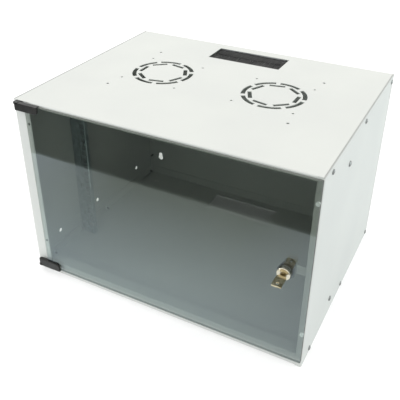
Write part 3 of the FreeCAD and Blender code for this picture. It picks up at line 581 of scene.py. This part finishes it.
# Glow of the open floor and the faint glow below the cabinet, which is painted shade under it, and where it
# changes inside the cabinet's outline
FLOOR_GLOW, UNDER_CABINET_SHADE = 0.50, 0.036
GLOW_FROM, GLOW_TO = -0.027, -0.01

# The painted reflection of the table: its far edge, where it is brightest, its near edge, and where its sides
# begin and end
TABLE_EDGE, TABLE_BRIGHT, TABLE_FOOT = -0.547, -0.26, -0.222
TABLE_CENTRE, SIDES_FROM, SIDES_TO = -0.13, 0.17, 0.42
NEAR_TABLE, FAR_TABLE = (1.42, 1.51, 1.52, 1.0), (0.69, 0.71, 0.60, 1.0)
SIDE_TABLE = (1.14, 1.18, 1.22, 1.0)
MIRRORED_LEVEL = 0.5 * MM


def strip(name, front, rear, level, material):
    """A flat strip across the whole floor."""
    corners = [(-FLOOR_HALF, front, level), (FLOOR_HALF, front, level),
               (FLOOR_HALF, rear, level), (-FLOOR_HALF, rear, level)]
    mesh = bpy.data.meshes.new(name)
    mesh.from_pydata(corners, [], [tuple(range(len(corners)))])
    mesh.materials.append(material)
    sheet = bpy.data.objects.new(name, mesh)
    scene.collection.objects.link(sheet)
    return sheet


def mirrored_strip(name, front, rear, material):
    """A strip that only mirrors see."""
    sheet = strip(name, front, rear, MIRRORED_LEVEL, material)
    sheet.visible_camera = False
    sheet.visible_diffuse = False
    sheet.visible_shadow = False
    sheet.visible_transmission = False


def white_paper():
    """White paper that glows where nothing stands on it, with painted shade below the cabinet where the glow
    falls to a faint level.
    """
    paper = Shading("studio_paper", roughness=0.9)
    fibre = paper.noise(*FIBRE)
    paper.colour(paper.blend(paper.spread(fibre), FLOOR_LIGHT, FLOOR_DARK))
    place = paper.parts("Object")
    beside = paper.math("SUBTRACT", paper.math("ABSOLUTE", place["X"]), cad_box[1][0])
    before = paper.math("SUBTRACT", paper.math("ABSOLUTE", place["Y"]), cad_box[1][1])
    outside = paper.math("MAXIMUM", beside, before)
    # Painted shade: the glow falls to a faint level below the cabinet
    glow_and_shade = paper.spread(outside, UNDER_CABINET_SHADE, FLOOR_GLOW, GLOW_FROM, GLOW_TO)
    paper.link(glow_and_shade, paper.shader.inputs["Emission Strength"])
    paper.set("Emission Color", grey(1.0))
    return paper.material


def dark_room_reflection():
    # Painted reflection: a black sheet that only mirrors see, standing in for the dark room before the
    # table's edge
    dark_room = Shading("studio_dark_reflection", roughness=1.0)
    mottle = dark_room.noise(*ROOM_MOTTLE)
    dark_room.colour(dark_room.blend(dark_room.spread(mottle), ROOM_REFLECTION_DARK, ROOM_REFLECTION_LIGHT))
    return dark_room.material


def table_reflection():
    """Painted reflection of the table: a glow that only mirrors see, brightest near the cabinet."""
    table = Shading("studio_table_reflection", roughness=1.0)
    place = table.parts("Object")
    nearness = table.spread(place["Y"], 0, 1, TABLE_EDGE, TABLE_BRIGHT)
    off_centre = table.math("ABSOLUTE", table.math("SUBTRACT", place["X"], TABLE_CENTRE))
    aside = table.spread(off_centre, 0, 1, SIDES_FROM, SIDES_TO)
    tone = table.blend(aside, table.blend(nearness, FAR_TABLE, NEAR_TABLE), SIDE_TABLE)
    table.link(tone, table.shader.inputs["Emission Color"])
    table.set("Emission Strength", 1.0)
    table.set("Base Color", grey(0.0))
    return table.material


def studio():
    strip("studio_floor", -FLOOR_HALF, FLOOR_HALF, 0, white_paper())
    mirrored_strip("studio_dark_reflection", -FLOOR_HALF, TABLE_EDGE, dark_room_reflection())
    mirrored_strip("studio_table_reflection", TABLE_EDGE, TABLE_FOOT, table_reflection())


# Light: a sky that is brighter overhead, and two soft lamps with their place, power and colour

SKY_HORIZON, SKY_ZENITH = (1.01, 1.06, 1.07, 1.0), (1.86, 1.82, 1.77, 1.0)
LAMP_TARGET = Vector((0, 0, 0.17))
LAMP_SIZE = 1.2
LAMPS = (
    ("left_softbox", (-2.1, -1.3, 0.9), 22, (0.94, 1.0, 1.06)),
    ("right_softbox", (2.0, 0.7, 0.6), 7.5, (0.66, 0.96, 1.06)),
)


def lamp(name, at, power, colour):
    light = bpy.data.lights.new(name, "AREA")
    light.shape = "DISK"
    light.size = LAMP_SIZE
    light.energy = power
    light.color = colour
    holder = bpy.data.objects.new(name, light)
    scene.collection.objects.link(holder)
    holder.location = at
    holder.rotation_euler = (LAMP_TARGET - Vector(at)).to_track_quat("-Z", "Y").to_euler()


def lights():
    world = bpy.data.worlds.new("studio")
    scene.world = world
    world.use_nodes = True
    tree = world.node_tree
    sky = tree.nodes["Background"]
    direction = tree.nodes.new("ShaderNodeTexCoord")
    parts = tree.nodes.new("ShaderNodeSeparateXYZ")
    rise = tree.nodes.new("ShaderNodeMix")
    rise.data_type = "RGBA"
    rise.inputs[MIX_FIRST].default_value = SKY_HORIZON
    rise.inputs[MIX_SECOND].default_value = SKY_ZENITH
    tree.links.new(direction.outputs["Generated"], parts.inputs["Vector"])
    tree.links.new(parts.outputs["Z"], rise.inputs[MIX_FACTOR])
    tree.links.new(rise.outputs[MIX_RESULT], sky.inputs["Color"])
    for settings in LAMPS:
        lamp(*settings)


def camera():
    back = Vector((math.sin(AZIMUTH) * math.cos(ELEVATION), -math.cos(AZIMUTH) * math.cos(ELEVATION),
                   math.sin(ELEVATION)))
    level = Vector((math.cos(AZIMUTH), math.sin(AZIMUTH), 0))
    rise = back.cross(level)
    right = math.cos(ROLL) * level + math.sin(ROLL) * rise
    up = math.cos(ROLL) * rise - math.sin(ROLL) * level
    data = bpy.data.cameras.new("photo_camera")
    data.sensor_width = SENSOR_MM
    data.lens = SENSOR_MM * FOCAL_PX / PICTURE
    data.shift_x = 0.5 - PRINCIPAL_PX[0] / PICTURE
    data.shift_y = PRINCIPAL_PX[1] / PICTURE - 0.5
    data.clip_start = CLIP_START
    eye = bpy.data.objects.new("photo_camera", data)
    scene.collection.objects.link(eye)
    turn = Matrix((right, up, back)).transposed().to_4x4()
    eye.matrix_world = Matrix.Translation(CAMERA_AT) @ turn
    scene.camera = eye


dress_nodes()
brushes()
screws()
studio()
lights()
camera()
scene.view_settings.view_transform = "Standard"
scene.view_settings.look = "None"
